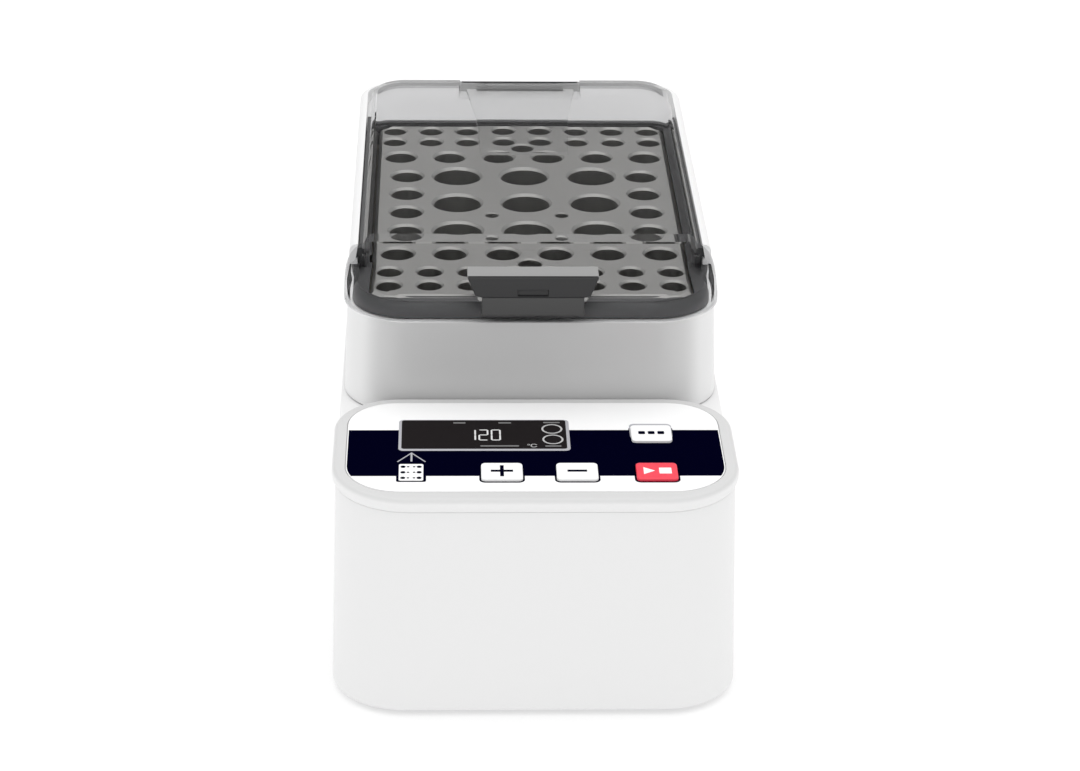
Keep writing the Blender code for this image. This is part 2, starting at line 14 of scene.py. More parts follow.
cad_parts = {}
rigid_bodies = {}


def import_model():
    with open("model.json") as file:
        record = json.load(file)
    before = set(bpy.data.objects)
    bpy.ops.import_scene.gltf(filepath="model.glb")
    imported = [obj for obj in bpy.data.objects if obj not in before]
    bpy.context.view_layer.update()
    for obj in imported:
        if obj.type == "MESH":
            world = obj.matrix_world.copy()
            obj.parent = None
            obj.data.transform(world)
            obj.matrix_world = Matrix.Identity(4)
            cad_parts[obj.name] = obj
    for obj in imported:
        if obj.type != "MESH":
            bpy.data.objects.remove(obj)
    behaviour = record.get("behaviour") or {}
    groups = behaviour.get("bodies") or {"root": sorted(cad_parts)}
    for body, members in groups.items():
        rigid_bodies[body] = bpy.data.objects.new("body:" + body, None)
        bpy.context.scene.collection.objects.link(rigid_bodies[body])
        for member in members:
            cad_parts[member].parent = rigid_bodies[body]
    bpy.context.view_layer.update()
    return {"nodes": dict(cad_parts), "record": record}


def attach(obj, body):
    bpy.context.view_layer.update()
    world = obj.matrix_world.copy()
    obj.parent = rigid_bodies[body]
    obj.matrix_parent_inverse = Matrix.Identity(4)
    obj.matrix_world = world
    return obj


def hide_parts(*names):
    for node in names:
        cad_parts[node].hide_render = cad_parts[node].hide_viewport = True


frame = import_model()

MM = 0.001
CENTRE_DEPTH = 137.5
ABOVE = 130  # cutters reach up to here, clear of every piece
HOUSING, LID_BODY = "housing", "lid_assembly"
SIDES = (("left", -1), ("right", 1))


def y_of(depth):
    return depth - CENTRE_DEPTH


def side_span(sign, inner, outer):
    """Span in X between two distances from the middle, on one side."""
    return sorted((sign * inner, sign * outer))


# ---------------------------------------------------------------- materials
def set_inputs(node, values):
    for name, value in values.items():
        node.inputs[name].default_value = value


def surface(name, colour, roughness, metallic=0.0, grain=0.0, grain_size=900.0, speckle=0.0, coat=0.0,
            extra=None):
    """Principled material with a fine grain in its roughness and relief, and in its colour with speckle."""
    made = bpy.data.materials.new(name)
    made.use_nodes = True
    nodes, links = made.node_tree.nodes, made.node_tree.links
    shader = nodes["Principled BSDF"]
    set_inputs(shader, {"Base Color": (*colour, 1), "Roughness": roughness, "Metallic": metallic,
                        "Coat Weight": coat, "Coat Roughness": 0.1})
    if extra:
        set_inputs(shader, extra)
    place = nodes.new("ShaderNodeTexCoord")
    noise = nodes.new("ShaderNodeTexNoise")
    set_inputs(noise, {"Scale": grain_size, "Detail": 3.0, "Roughness": 0.55})
    links.new(place.outputs["Object"], noise.inputs["Vector"])
    spread = nodes.new("ShaderNodeMapRange")
    set_inputs(spread, {"To Min": max(roughness - 0.05, 0.02), "To Max": roughness + 0.05})
    links.new(noise.outputs["Fac"], spread.inputs["Value"])
    links.new(spread.outputs["Result"], shader.inputs["Roughness"])
    if grain:
        bump = nodes.new("ShaderNodeBump")
        set_inputs(bump, {"Strength": grain, "Distance": 0.00008})
        links.new(noise.outputs["Fac"], bump.inputs["Height"])
        links.new(bump.outputs["Normal"], shader.inputs["Normal"])
    if speckle:
        tone = nodes.new("ShaderNodeMapRange")
        set_inputs(tone, {"To Min": 1 - speckle, "To Max": 1 + speckle})
        scaled = nodes.new("ShaderNodeVectorMath")
        scaled.operation = "SCALE"
        scaled.inputs[0].default_value = colour
        links.new(noise.outputs["Fac"], tone.inputs["Value"])
        links.new(tone.outputs["Result"], scaled.inputs["Scale"])
        links.new(scaled.outputs["Vector"], shader.inputs["Base Color"])
    return made


SKIN_POWER, TRAPPED_FROM = 1.5, 0.98
UPRIGHT_Z, FLAT_Z = 0.15, 0.7


def smoke(name, tint, ior=1.12, fade=None, upright=None):
    """Tinted clear plastic that refracts what is behind it and lets the lamps' light through.

    It reflects at grazing angles, and rays that would be trapped inside it pass straight through. The ior is lower
    than a real plastic's. fade = (tint, y0, y1) blends to another tint from y0 to y1, in metres along the piece.
    upright is the tint of walls that stand upright, where the moulding is thin.
    """
    made = bpy.data.materials.new(name)
    made.use_nodes = True
    nodes, links = made.node_tree.nodes, made.node_tree.links
    nodes.remove(nodes["Principled BSDF"])
    bend = nodes.new("ShaderNodeBsdfRefraction")
    set_inputs(bend, {"Color": (*tint, 1), "Roughness": 0.0, "IOR": ior})
    clear = nodes.new("ShaderNodeBsdfTransparent")
    clear.inputs["Color"].default_value = (*tint, 1)

    def blend_to(other, measure, low, high):
        blend, ramp = nodes.new("ShaderNodeMix"), nodes.new("ShaderNodeMapRange")
        blend.data_type, ramp.interpolation_type = "RGBA", "SMOOTHSTEP"
        set_inputs(ramp, {"From Min": low, "From Max": high})
        blend.inputs[6].default_value, blend.inputs[7].default_value = (*tint, 1), (*other, 1)
        links.new(measure, ramp.inputs["Value"])
        links.new(ramp.outputs["Result"], blend.inputs["Factor"])
        for shader in (bend, clear):
            links.new(blend.outputs[2], shader.inputs["Color"])

    split = nodes.new("ShaderNodeSeparateXYZ")
    if fade:
        links.new(nodes.new("ShaderNodeTexCoord").outputs["Object"], split.inputs["Vector"])
        blend_to(fade[0], split.outputs["Y"], fade[1], fade[2])
    elif upright:
        links.new(nodes.new("ShaderNodeTexCoord").outputs["Normal"], split.inputs["Vector"])
        steep = nodes.new("ShaderNodeMath")
        steep.operation = "ABSOLUTE"
        links.new(split.outputs["Z"], steep.inputs[0])
        blend_to(upright, steep.outputs["Value"], FLAT_Z, UPRIGHT_Z)
    shine = nodes.new("ShaderNodeBsdfGlossy")
    set_inputs(shine, {"Color": (1, 1, 1, 1), "Roughness": 0.03})
    facing = nodes.new("ShaderNodeFresnel")
    facing.inputs["IOR"].default_value = ior
    share, trapped = nodes.new("ShaderNodeMath"), nodes.new("ShaderNodeMath")
    share.operation, trapped.operation = "POWER", "GREATER_THAN"
    share.inputs[1].default_value, trapped.inputs[1].default_value = SKIN_POWER, TRAPPED_FROM
    path = nodes.new("ShaderNodeLightPath")
    skin, passed, mix = (nodes.new("ShaderNodeMixShader") for _ in range(3))
    links.new(facing.outputs["Fac"], share.inputs[0])
    links.new(share.outputs["Value"], skin.inputs["Fac"])
    links.new(bend.outputs["BSDF"], skin.inputs[1])
    links.new(shine.outputs["BSDF"], skin.inputs[2])
    links.new(facing.outputs["Fac"], trapped.inputs[0])
    links.new(trapped.outputs["Value"], passed.inputs["Fac"])
    links.new(skin.outputs["Shader"], passed.inputs[1])
    links.new(clear.outputs["BSDF"], passed.inputs[2])
    links.new(path.outputs["Is Shadow Ray"], mix.inputs["Fac"])
    links.new(passed.outputs["Shader"], mix.inputs[1])
    links.new(clear.outputs["BSDF"], mix.inputs[2])
    links.new(mix.outputs["Shader"], nodes["Material Output"].inputs["Surface"])
    return made


def glow(strength):
    return {"Emission Color": (1, 1, 1, 1), "Emission Strength": strength}


# The upper cover's white is darker all over than the base's, though both are one white plastic: painted shade.
COVER_SHADED_COLOUR, RIM_COLOUR = (0.80, 0.80, 0.80), (0.86, 0.86, 0.86)
WHITE = surface("moulded_white", (0.845, 0.845, 0.845), 0.42, grain=0.12, grain_size=1500, coat=0.15)
PLAIN_WHITE = surface("film_white", (0.93, 0.93, 0.93), 0.45, grain=0.05, grain_size=2500)
COVER_WHITE_PAINTED_SHADE = surface("cover_white_painted_shade", COVER_SHADED_COLOUR, 0.42, grain=0.12, grain_size=1500, coat=0.15)

SHADE_POWER = 6.0
SHADE_LOW_Z, SHADE_HIGH_Z, SHADE_LOW_GAIN = 0.074, 0.094, 1.12


def shade_front(made, colour, amount, half, y_near, y_far):
    """Painted shade: deepens a front wall's white towards its middle, by the place on the piece in metres.

    It doesn't follow the lights.
    """
    nodes, links = made.node_tree.nodes, made.node_tree.links

    def math_node(operation, first, second=None):
        node = nodes.new("ShaderNodeMath")
        node.operation = operation
        for socket, value in zip(node.inputs, (first, second)):
            if isinstance(value, (int, float)):
                socket.default_value = value
            elif value is not None:
                links.new(value, socket)
        return node.outputs["Value"]

    place, split = nodes.new("ShaderNodeTexCoord"), nodes.new("ShaderNodeSeparateXYZ")
    links.new(place.outputs["Object"], split.inputs["Vector"])
    share = math_node("DIVIDE", math_node("ABSOLUTE", split.outputs["X"]), half)
    across = math_node("POWER", share, SHADE_POWER)
    middle = math_node("MAXIMUM", math_node("SUBTRACT", 1.0, across), 0.0)
    near = nodes.new("ShaderNodeMapRange")
    near.interpolation_type = "SMOOTHSTEP"
    set_inputs(near, {"From Min": y_far, "From Max": y_near})
    links.new(split.outputs["Y"], near.inputs["Value"])
    low = nodes.new("ShaderNodeMapRange")
    set_inputs(low, {"From Min": SHADE_LOW_Z, "From Max": SHADE_HIGH_Z,
                     "To Min": SHADE_LOW_GAIN, "To Max": 1.0})
    links.new(split.outputs["Z"], low.inputs["Value"])
    reach = math_node("MULTIPLY", middle, near.outputs["Result"])
    depth = math_node("MULTIPLY", reach, low.outputs["Result"])
    keep = math_node("SUBTRACT", 1.0, math_node("MULTIPLY", depth, amount))
    scaled = nodes.new("ShaderNodeVectorMath")
    scaled.operation = "SCALE"
    scaled.inputs[0].default_value = colour
    links.new(keep, scaled.inputs["Scale"])
    links.new(scaled.outputs["Vector"], nodes["Principled BSDF"].inputs["Base Color"])


def shade_top(made, colour, keep):
    """Painted shade: keeps a share of the white where the surface faces up, and all of it where it stands."""
    nodes, links = made.node_tree.nodes, made.node_tree.links
    shape, split = nodes.new("ShaderNodeTexCoord"), nodes.new("ShaderNodeSeparateXYZ")
    links.new(shape.outputs["Normal"], split.inputs["Vector"])
    amount = nodes.new("ShaderNodeMapRange")
    amount.interpolation_type = "SMOOTHSTEP"
    set_inputs(amount, {"From Min": 0.1, "From Max": 0.9, "To Min": 1.0, "To Max": keep})
    links.new(split.outputs["Z"], amount.inputs["Value"])
    scaled = nodes.new("ShaderNodeVectorMath")
    scaled.operation = "SCALE"
    scaled.inputs[0].default_value = colour
    links.new(amount.outputs["Result"], scaled.inputs["Scale"])
    links.new(scaled.outputs["Vector"], nodes["Principled BSDF"].inputs["Base Color"])


shade_front(COVER_WHITE_PAINTED_SHADE, COVER_SHADED_COLOUR, amount=0.32, half=0.061, y_near=-0.0605, y_far=-0.055)
RIM_WHITE = surface("bezel_white", (0.62, 0.62, 0.62), 0.42, grain=0.12, grain_size=1500)
shade_top(RIM_WHITE, RIM_COLOUR, keep=0.72)
LOOK = {
    "housing_white": WHITE,
    "label_white": PLAIN_WHITE,
    "display_black": surface("window_black", (0.0125, 0.0105, 0.011), 0.14, grain_size=300,
                             extra={"IOR": 1.06}),
    "key_white": surface("key_white_film", (0.93, 0.93, 0.93), 0.42, grain=0.05, grain_size=2500),
    "key_red": surface("key_red_film", (0.86, 0.035, 0.07), 0.42, grain=0.05, grain_size=2500),
    "block_aluminium": surface("block_machined", (0.50, 0.495, 0.48), 0.42, 1.0, 0.35, 1800, 0.06),
    "frame_black": surface("frame_moulded", (0.062, 0.062, 0.064), 0.45, grain=0.3, grain_size=2000),
    "lid_smoke": smoke("lid_smoke_clear", (0.835, 0.835, 0.837), upright=(0.97, 0.97, 0.972)),
    "grip_black": surface("grip_moulded", (0.016, 0.016, 0.017), 0.3, grain=0.1, grain_size=2000),
    "steel": surface("steel_plain", (0.6, 0.6, 0.6), 0.3, 1.0, 0.1, 1500),
    "base_grey": surface("base_coat", (0.22, 0.22, 0.23), 0.55, grain=0.4, grain_size=2200),
    "rubber_black": surface("pad_rubber", (0.018, 0.018, 0.018), 0.8, grain=0.4, grain_size=2500),
    "insulation": surface("fibre_board", (0.72, 0.69, 0.6), 0.95, grain=0.9, grain_size=900, speckle=0.15),
    "silicone_red": surface("mat_silicone", (0.42, 0.09, 0.05), 0.7, grain=0.2),
    "board_green": surface("solder_mask", (0.02, 0.14, 0.06), 0.4, grain=0.1),
    "core_grey": surface("potting_grey", (0.16, 0.16, 0.17), 0.5, grain=0.2),
    "brass": surface("pin_brass", (0.75, 0.58, 0.28), 0.28, 1.0, 0.05, 1500),
}
INK = surface("ink_navy", (0.0006, 0.0006, 0.0085), 0.6, grain=0.05, grain_size=2500,
              extra={"IOR": 1.0, "Specular IOR Level": 0.0})
INK_GREY = surface("ink_grey", (0.42, 0.42, 0.45), 0.45, grain=0.05, grain_size=2500)
# The grip is one black moulding; its top is painted lighter grey than its front: painted sheen.
GRIP_TOP_PAINTED_SHEEN = surface("grip_top_painted_sheen", (0.27, 0.27, 0.268), 0.5, grain=0.1, grain_size=2000)
GRIP_TAB = surface("grip_tab_smoky", (0.05, 0.05, 0.05), 0.3, grain=0.05, grain_size=2000)
LIT = surface("lit_segments", (0.5, 0.5, 0.5), 0.3, extra=glow(0.22))
FAINT = surface("faint_marks", (0.16, 0.16, 0.16), 0.4)
DIM = surface("dim_marks", (0.4, 0.4, 0.4), 0.4, extra=glow(0.08))

slots = {part["node"]: part["material_slot"] for part in frame["record"]["subparts"]}
for node_name, node in frame["nodes"].items():
    node.data.materials.clear()
    node.data.materials.append(LOOK[slots[node_name]])

HINGE_CLEAR = smoke("hinge_clear_plastic", (0.993, 0.993, 0.993), 1.06)
for node_name in ("hinge_base", "lid_hinge_leaf"):
    frame["nodes"][node_name].data.materials[0] = HINGE_CLEAR
# The rib is the lid's smoky plastic; its dark tint where it lies over the block, fading to clear beyond, is
# painted shade.
frame["nodes"]["lid_rib"].data.materials[0] = smoke(
    "rib_smoke_painted_shade", (0.68, 0.68, 0.68), 1.04, fade=((0.99, 0.99, 0.99), -0.028, -0.022))
frame["nodes"]["hinge_pin"].data.materials[0] = surface(
    "pin_blackened", (0.1, 0.1, 0.1), 0.35, 1.0, 0.1, 1500)

# ---------------------------------------------------------------- shape helpers
VISUAL = bpy.data.collections.new("visual")
TOOLS = bpy.data.collections.new("cutters")
for group in (VISUAL, TOOLS):
    bpy.context.scene.collection.children.link(group)


def outline(half, front, back, r_front, r_back, steps=16, centre=0.0):
    """Rectangle with rounded corners, symmetrical about centre in X, from depth front to depth back."""
    y0, y1 = y_of(front), y_of(back)
    corners = ((half - r_front, y0 + r_front, r_front, -90), (half - r_back, y1 - r_back, r_back, 0),
               (r_back - half, y1 - r_back, r_back, 90), (r_front - half, y0 + r_front, r_front, 180))
    points = []
    for cx, cy, radius, start in corners:
        for i in range(steps + 1):
            a = math.radians(start + 90 * i / steps)
            points.append((centre + cx + radius * math.cos(a), cy + radius * math.sin(a)))
    return points


def circle(x, y, radius, count):
    return [(x + radius * math.cos(2 * math.pi * (i + 0.5) / count),
             y + radius * math.sin(2 * math.pi * (i + 0.5) / count)) for i in range(count)]


def add_stack(bm, levels):
    """Closed solid through (outline, height) levels; a height is a number or a function of y."""
    loops = []
    for points, height in levels:
        level = height if callable(height) else (lambda y, h=height: h)
        loops.append([bm.verts.new((x * MM, y * MM, level(y) * MM)) for x, y in points])
    for low, high in zip(loops, loops[1:]):
        for i in range(len(low)):
            j = (i + 1) % len(low)
            bm.faces.new((low[i], low[j], high[j], high[i]))
    bm.faces.new(tuple(reversed(loops[0])))
    bm.faces.new(tuple(loops[-1]))


def finish_mesh(name, bm, look=None):
    bmesh.ops.recalc_face_normals(bm, faces=bm.faces)
    mesh = bpy.data.meshes.new(name)
    bm.to_mesh(mesh)
    bm.free()
    thing = bpy.data.objects.new(name, mesh)
    if look:
        mesh.materials.append(look)
        VISUAL.objects.link(thing)
    else:
        TOOLS.objects.link(thing)
    return thing


def stack(name, levels, look=None):
    bm = bmesh.new()
    add_stack(bm, levels)
    return finish_mesh(name, bm, look)


def prism(name, points, low, high, look=None):
    return stack(name, [(points, low), (points, high)], look)


def box(name, x, depth, z, look=None):
    y0, y1 = y_of(depth[0]), y_of(depth[1])
    return prism(name, [(x[0], y0), (x[1], y0), (x[1], y1), (x[0], y1)], *z, look)


def extrude(name, profile, along, start, stop, look=None):
    """Extrudes a (depth, z) profile along X, or an (x, z) profile along the depth."""
    bm = bmesh.new()
    if along == "x":
        ends = [[bm.verts.new((at * MM, y_of(d) * MM, z * MM)) for d, z in profile] for at in (start, stop)]
    else:
        ends = [[bm.verts.new((x * MM, y_of(at) * MM, z * MM)) for x, z in profile] for at in (start, stop)]
    for i in range(len(profile)):
        j = (i + 1) % len(profile)
        bm.faces.new((ends[0][i], ends[0][j], ends[1][j], ends[1][i]))
    bm.faces.new(ends[0])
    bm.faces.new(tuple(reversed(ends[1])))
    return finish_mesh(name, bm, look)


def arc(depth, z, radius, start, end, steps):
    return [(depth + radius * math.cos(math.radians(start + (end - start) * i / steps)),
             z + radius * math.sin(math.radians(start + (end - start) * i / steps)))
            for i in range(steps + 1)]


def stadium(d0, d1, z0, z1):
    """Slot with round ends as a (depth, z) profile."""
    r, z = (z1 - z0) / 2, (z0 + z1) / 2
    return arc(d1 - r, z, r, -90, 90, 8) + arc(d0 + r, z, r, 90, 270, 8)


NOTCH_DEPTH, NOTCH_Z = 92.0, 117.5


def notch_profile(radius, front, ledge):
    """(depth, z) profile of the space before the rim's hollow curve: ledge, arc, then straight up."""
    return ([(front, ledge)] + arc(NOTCH_DEPTH, NOTCH_Z, radius, -90, 0, 14)
            + [(NOTCH_DEPTH + radius, ABOVE), (front, ABOVE)])


def combine(target, operation, *tools):
    for tool in tools:
        step = target.modifiers.new(operation.lower() + "_" + tool.name, "BOOLEAN")
        step.operation, step.solver, step.object = operation, "EXACT", tool
    return target


def soften(thing, width):
    """Rounds every hard edge that is there when this modifier runs."""
    step = thing.modifiers.new("soften", "BEVEL")
    step.width, step.segments, step.limit_method = width * MM, 2, "ANGLE"
    step.angle_limit = math.radians(35)


def bake(thing, angle=32):
    """Applies the modifiers and shades the result smooth between hard edges."""
    graph = bpy.context.evaluated_depsgraph_get()
    solid = bpy.data.meshes.new_from_object(thing.evaluated_get(graph))
    thing.modifiers.clear()
    thing.data = solid
    for face in solid.polygons:
        face.use_smooth = True
    solid.set_sharp_from_angle(angle=math.radians(angle))
    weigh = thing.modifiers.new("weighted_normals", "WEIGHTED_NORMAL")
    weigh.keep_sharp, weigh.weight = True, 100
    return thing


def ride(thing, body, slot, *nodes):
    if nodes:
        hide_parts(*nodes)
    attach(thing, body)
    return thing


def quarter(steps):
    """Points of a quarter circle, each as how far it has come in and how far it is short of the top, 0 to 1."""
    turns = [math.radians(90 * i / steps) for i in range(steps + 1)]
    return [(1 - math.cos(a), 1 - math.sin(a)) for a in turns]


def rounded(outline_at, z0, z1, low, high):
    """Levels of a shell whose lower and upper edges are rounded by quarter circles."""
    return ([(outline_at(z0, low * short), z0 + low * come_in) for come_in, short in quarter(6)]
            + [(outline_at(z1, high * come_in), z1 - high * short) for come_in, short in quarter(6)])


# ---------------------------------------------------------------- housing shells
BASE_LOW, BASE_TOP = 2.0, 70.0
COVER_LOW, COVER_TOP = 70.3, 117.5
WELL_BACK = 249.8


def base_outline(z, inset):
    """Lower housing, whose walls lean in from bottom to top."""
    t = (z - BASE_LOW) / (BASE_TOP - BASE_LOW)
    return outline(65.0 - 1.6 * t - inset, -2.5 + 5.0 * t + inset, 277.5 - 1.2 * t - inset, 24 - inset, 16 - inset)


def cover_outline(z, inset):
    t = (z - COVER_LOW) / (COVER_TOP - COVER_LOW)
    return outline(62.3 - 1.7 * t - inset, 75.0 + inset, 276.3 - 1.0 * t - inset, 21 - inset, 16 - inset)


def rear_slope(y):
    """Floor of the rear deck, rising from the well's back edge towards the hinge."""
    return 109.4 + (y - y_of(WELL_BACK)) * 5.8 / 22.8


base = stack("base_shell", rounded(base_outline, BASE_LOW, BASE_TOP, 0.8, 0.3), WHITE)
combine(base, "DIFFERENCE",
        stack("base_cavity", [(base_outline(0, 2.5), 0.0), (base_outline(67.5, 2.5), 67.5)]),
        prism("base_window", outline(56, 8, 71, 16, 6), 60, 75),
        prism("base_well", outline(57.9, 79.2, 271, 13.5, 6), 60, 75),
        box("inlet_opening", (-4.4, 46.4), (270, 285), (14.6, 45.4)))
ride(bake(base), HOUSING, "housing_white", "base_housing")

cover = stack("cover_shell", rounded(cover_outline, COVER_LOW, COVER_TOP, 0.4, 2.6), COVER_WHITE_PAINTED_SHADE)
notch = extrude("notch", notch_profile(14.8, 60, 102.7), "x", -72, 72)
combine(notch, "DIFFERENCE", prism("notch_core", outline(57.6, 79.6, 140, 16.5, 2), 90, 106.2))
combine(cover, "DIFFERENCE",
        prism("cover_cavity", outline(59.4, 77.6, 273.4, 17, 12), 60, 100),
        prism("cover_cavity_top", outline(57.3, 79.9, 273.4, 16.2, 12), 99, 103.5),
        prism("well_pocket", outline(57.7, 79.5, WELL_BACK, 16.6, 8.3), 106.0, ABOVE),
        prism("rear_pocket", outline(57.7, 240.0, 272.6, 0.6, 13.5), rear_slope, ABOVE),
        prism("deck_opening", outline(54.6, 78.6, 247.2, 14, 4), 103.0, 110),
        box("hinge_recess", (-23.2, 23.2), (262.0, 272.6), (113.0, ABOVE)),
        *[box("ear_pocket_" + side, side_span(sign, 57.0, 59.4), (91.2, 112.4), (102.7, 110.5))
          for side, sign in SIDES],
        notch,
        *[extrude("slot_" + side, stadium(170.0, 212.0, 110.0, 113.4), "x", *side_span(sign, 59.0, 70))
          for side, sign in reversed(SIDES)])
ride(bake(cover), HOUSING, "housing_white", "upper_cover")
for side, sign in SIDES:
    insert = extrude("slot_lining_" + side, stadium(170.3, 211.7, 110.3, 113.1), "x",
                     *side_span(sign, 59.3, 60.3), LOOK["frame_black"])
    combine(insert, "DIFFERENCE", *[
        extrude(f"slot_rib_{side}_{i}", stadium(172.5 + 8.2 * i, 177.9 + 8.2 * i, 110.9, 112.5), "x",
                *side_span(sign, 59.8, 61)) for i in range(5)])
    ride(bake(insert), HOUSING, "frame_black", "side_insert_" + side)


# ---------------------------------------------------------------- control deck
DECK_BACK, DECK_BACK_Z, DECK_FALL, DECK_ROUND = 74.6, 76.0, 0.0187, 1.9
DECK_EDGE = ((1.0, 70.06), (0.8, 70.4), (0.5, 70.9), (0.25, 71.4), (0.08, 71.9), (0.0, 72.4))
FILM_HALF, FILM_FRONT, FILM_BACK, FILM_CORNERS, FILM_BEVEL = 60.0, 7.6, 70.2, (17.5, 16.0), 0.08


def deck_z(offset):
    """Height over the sloping deck, as a function of y."""
    return lambda y: DECK_BACK_Z - DECK_FALL * (DECK_BACK - y - CENTRE_DEPTH) + offset


def bezel_outline(inset):
    return outline(64.5 - inset, 1.6 + inset, DECK_BACK - inset, 25 - inset, 21 - inset)


def film_outline(inset=0.0):
    return outline(FILM_HALF - inset, FILM_FRONT + inset, FILM_BACK - inset, *(r - inset for r in FILM_CORNERS))


def deck_stack(name, x, depth, heights, radius, look=None, insets=None):
    """Rounded block standing on the deck; heights are measured from the deck's surface."""
    half, centre = (x[1] - x[0]) / 2, (x[1] + x[0]) / 2
    levels = []
    for i, h in zip(insets or [0.0] * len(heights), heights):
        corner = max(radius - i, 0.05)
        levels.append((outline(half - i, depth[0] + i, depth[1] - i, corner, corner, 8, centre), deck_z(h)))
    return stack(name, levels, look)


def grown(span, amount):
    return (span[0] - amount, span[1] + amount)


KEYS = {"key_plus": (-10.8, 19.8), "key_minus": (12.9, 19.8), "key_mode": (37.8, 46.5), "key_start": (38.0, 19.8)}
KEY_HALF = (6.55, 5.65)
SCREEN_X, SCREEN_D = (-42.7, 10.5), (36.7, 57.4)


def key_area(name, grow=0.0):
    return [grown((at - half, at + half), grow) for at, half in zip(KEYS[name], KEY_HALF)]


levels = [(bezel_outline(inset), z) for inset, z in DECK_EDGE]
levels += [(bezel_outline(DECK_ROUND * come_in), deck_z(-DECK_ROUND * short)) for come_in, short in quarter(8)]
bezel = stack("bezel_shell", levels, RIM_WHITE)
film = stack("film_sheet", [(film_outline(), deck_z(-0.4)), (film_outline(), deck_z(0.02)),
                            (film_outline(FILM_BEVEL), deck_z(0.1))], PLAIN_WHITE)
combine(bezel, "DIFFERENCE",
        prism("bezel_cavity", outline(61.0, 5.0, 71.6, 21, 17), 60.0, deck_z(-2.6)),
        prism("label_recess", outline(60.3, 7.3, 70.5, 17.8, 16.3), deck_z(-0.7), 90),
        stack("label_recess", [(outline(60.3, 7.3, 70.5, 17.8, 16.3), h) for h in (deck_z(-0.7), 90)]),
        deck_stack("window_seat", grown(SCREEN_X, 0.3), grown(SCREEN_D, 0.3), (-1.5, 3), 1.3))
combine(film, "DIFFERENCE",
        deck_stack("film_window", grown(SCREEN_X, 0.12), grown(SCREEN_D, 0.12), (-3, 3), 1.2))
for name in KEYS:
    combine(film, "DIFFERENCE", deck_stack(name + "_film_hole", *key_area(name, 0.25), (-3, 3), 1.8))
    combine(bezel, "DIFFERENCE", deck_stack(name + "_bezel_hole", *key_area(name, 0.4), (-5, 3), 1.9))
ride(bake(bezel), HOUSING, "housing_white", "control_bezel")
ride(bake(film), HOUSING, "label_white", "label_film")
window = deck_stack("window_pane", SCREEN_X, SCREEN_D, (-1.2, 0.07, 0.15), 1.0, LOOK["display_black"],
                    (0, 0, 0.08))
ride(bake(window), HOUSING, "display_black", "display_window")


# ---------------------------------------------------------------- print on the deck
def rounded_rect(x0, x1, d0, d1, radius):
    return outline((x1 - x0) / 2, d0, d1, radius, radius, 6, (x0 + x1) / 2)


def strip(points, width):
    """Quads along a line of (x, depth) points, width mm wide, with square joints at the bends."""
    quads = []
    for (x0, d0), (x1, d1) in zip(points, points[1:]):
        length = math.hypot(x1 - x0, d1 - d0)
        ux, ud = (x1 - x0) / length * width / 2, (d1 - d0) / length * width / 2
        quads.append([(x0 - ux + ud, y_of(d0 - ud - ux)), (x1 + ux + ud, y_of(d1 + ud - ux)),
                      (x1 + ux - ud, y_of(d1 + ud + ux)), (x0 - ux - ud, y_of(d0 - ud + ux))])
    return quads


def ring(x, depth, outer, inner, count=40):
    big, small = circle(x, y_of(depth), outer, count), circle(x, y_of(depth), inner, count)
    return [[big[i], big[(i + 1) % count], small[(i + 1) % count], small[i]] for i in range(count)]


FILM_TOP, WINDOW_TOP, KEY_TOP = 0.102, 0.152, 1.002
PRINT_THICK, PRINT_STEP = 0.012, 0.004


def printed(name, shapes, height, look, slot, body=HOUSING):
    """One printed layer: thin closed patches joined in one piece, lying height mm over the deck."""
    bm = bmesh.new()
    for number, points in enumerate(shapes):
        low = height + PRINT_STEP * (number % 5)
        add_stack(bm, [(points, deck_z(low)), (points, deck_z(low + PRINT_THICK))])
    layer = finish_mesh(name, bm, look)
    return ride(layer, body, slot)


def edge_half(depth):
    """Half-width of the film at a depth, so that the band runs out to the film's own edge."""
    r_front, r_back = FILM_CORNERS
    for radius, past in ((r_front, FILM_FRONT + r_front - depth), (r_back, depth - FILM_BACK + r_back)):
        if past > 0:
            return FILM_HALF - radius + math.sqrt(max((radius - FILM_BEVEL) ** 2 - past ** 2, 0))
    return FILM_HALF - FILM_BEVEL


BAND_FRONT, BAND_BACK, BAND_MARGIN = 18.0, 50.2, 0.25
band_depths = [BAND_FRONT + i * (BAND_BACK - BAND_FRONT) / 24 for i in range(25)]
band = ([(edge_half(d) - BAND_MARGIN, y_of(d)) for d in band_depths]
        + [(BAND_MARGIN - edge_half(d), y_of(d)) for d in reversed(band_depths)])
navy = [band, rounded_rect(-44.0, -34.6, 14.0, 26.0, 0.8)]
for name in KEYS:
    (x0, x1), (d0, d1) = key_area(name)
    navy.append(rounded_rect(x0 - 0.6, x1 + 0.6, d0 - 0.75, d1 + 0.5, 2.0))
printed("print_navy", navy, FILM_TOP, INK, "display_black")
(x0, x1), (d0, d1) = SCREEN_X, SCREEN_D
printed("print_screen_border", [rounded_rect(x0 - 0.85, x1 + 0.95, d0 - 1.3, d1 + 0.2, 1.6),
                                rounded_rect(x0 - 0.5, x1 + 0.5, d0 - 1.0, d1 - 8, 1.3)],
        FILM_TOP + 0.02, INK_GREY, "label_white")

(x0, x1), (d0, d1) = key_area("key_mode")
printed("print_mode_border", [rounded_rect(x0 - 0.3, x1 + 0.3, d0 + 3.0, d1 + 2.5, 1.8)],
        FILM_TOP + 0.02, INK_GREY, "label_white")

